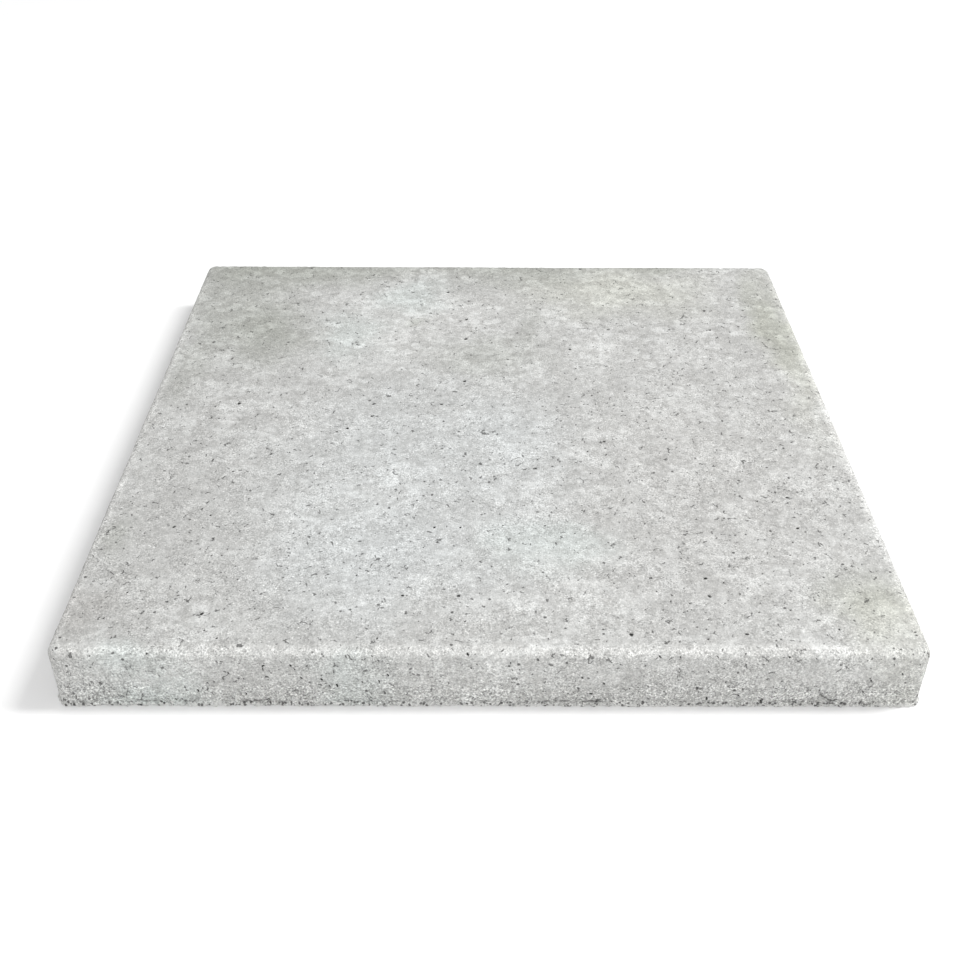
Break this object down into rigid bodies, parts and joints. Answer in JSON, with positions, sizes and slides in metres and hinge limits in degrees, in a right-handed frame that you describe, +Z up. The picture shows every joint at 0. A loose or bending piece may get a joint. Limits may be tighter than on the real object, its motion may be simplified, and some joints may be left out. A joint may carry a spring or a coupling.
{
  "type": "paving slab",
  "caption": "Square pressed concrete slab with a flat porous top, a softly rounded upper edge and corners, and a rough, crumbly lower edge.",
  "frame": {"origin": "middle of the base, where the slab stands", "axes": "+Z up through the thickness; +X along the length and +Y along the width, both square to the upright sides, with the side that faces the viewer at -Y"},
  "size_m": [0.6, 0.6, 0.05],
  "materials": {
    "facing_concrete": "matte",
    "backing_concrete": "matte"
  },
  "bodies": {
    "root": {"facing_layer": "facing_concrete", "backing_layer": "backing_concrete"}
  },
  "joints": []
}
